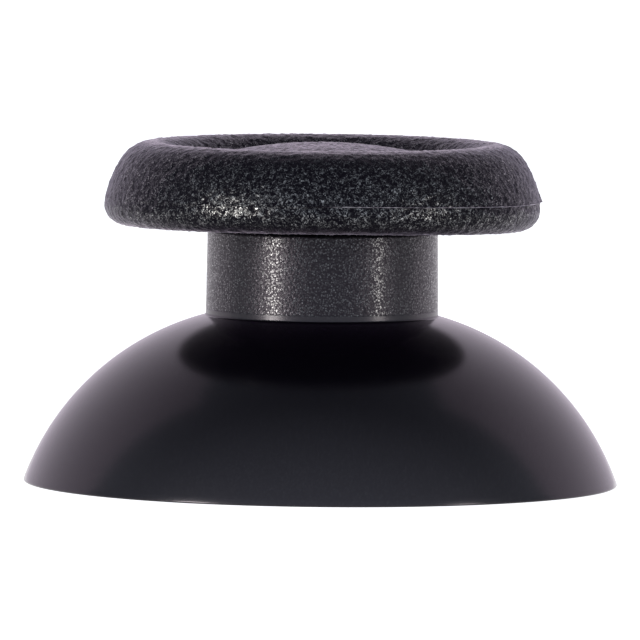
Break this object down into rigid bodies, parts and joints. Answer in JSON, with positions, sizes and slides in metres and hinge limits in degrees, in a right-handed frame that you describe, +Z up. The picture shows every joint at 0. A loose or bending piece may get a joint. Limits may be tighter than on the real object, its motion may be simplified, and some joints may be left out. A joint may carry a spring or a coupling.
{
  "type": "thumbstick cap",
  "caption": "Round thumbstick cap with a domed plastic skirt, a short neck and a grained rubber head with a raised rim and a low crown.",
  "frame": {"origin": "on the axis, in the plane of the skirt's rim, which is what the cap stands on", "axes": "+Z up the axis towards the head; the flats of the stem socket face +Y and -Y"},
  "size_m": [0.0244, 0.0244, 0.014],
  "materials": {
    "plastic": "black, satin on the skirt and finely spark-textured on the neck",
    "rubber": "black, matte, with a fine leather grain"
  },
  "bodies": {
    "root": {"stick_body": "plastic", "rubber_grip": "rubber"}
  },
  "joints": []
}
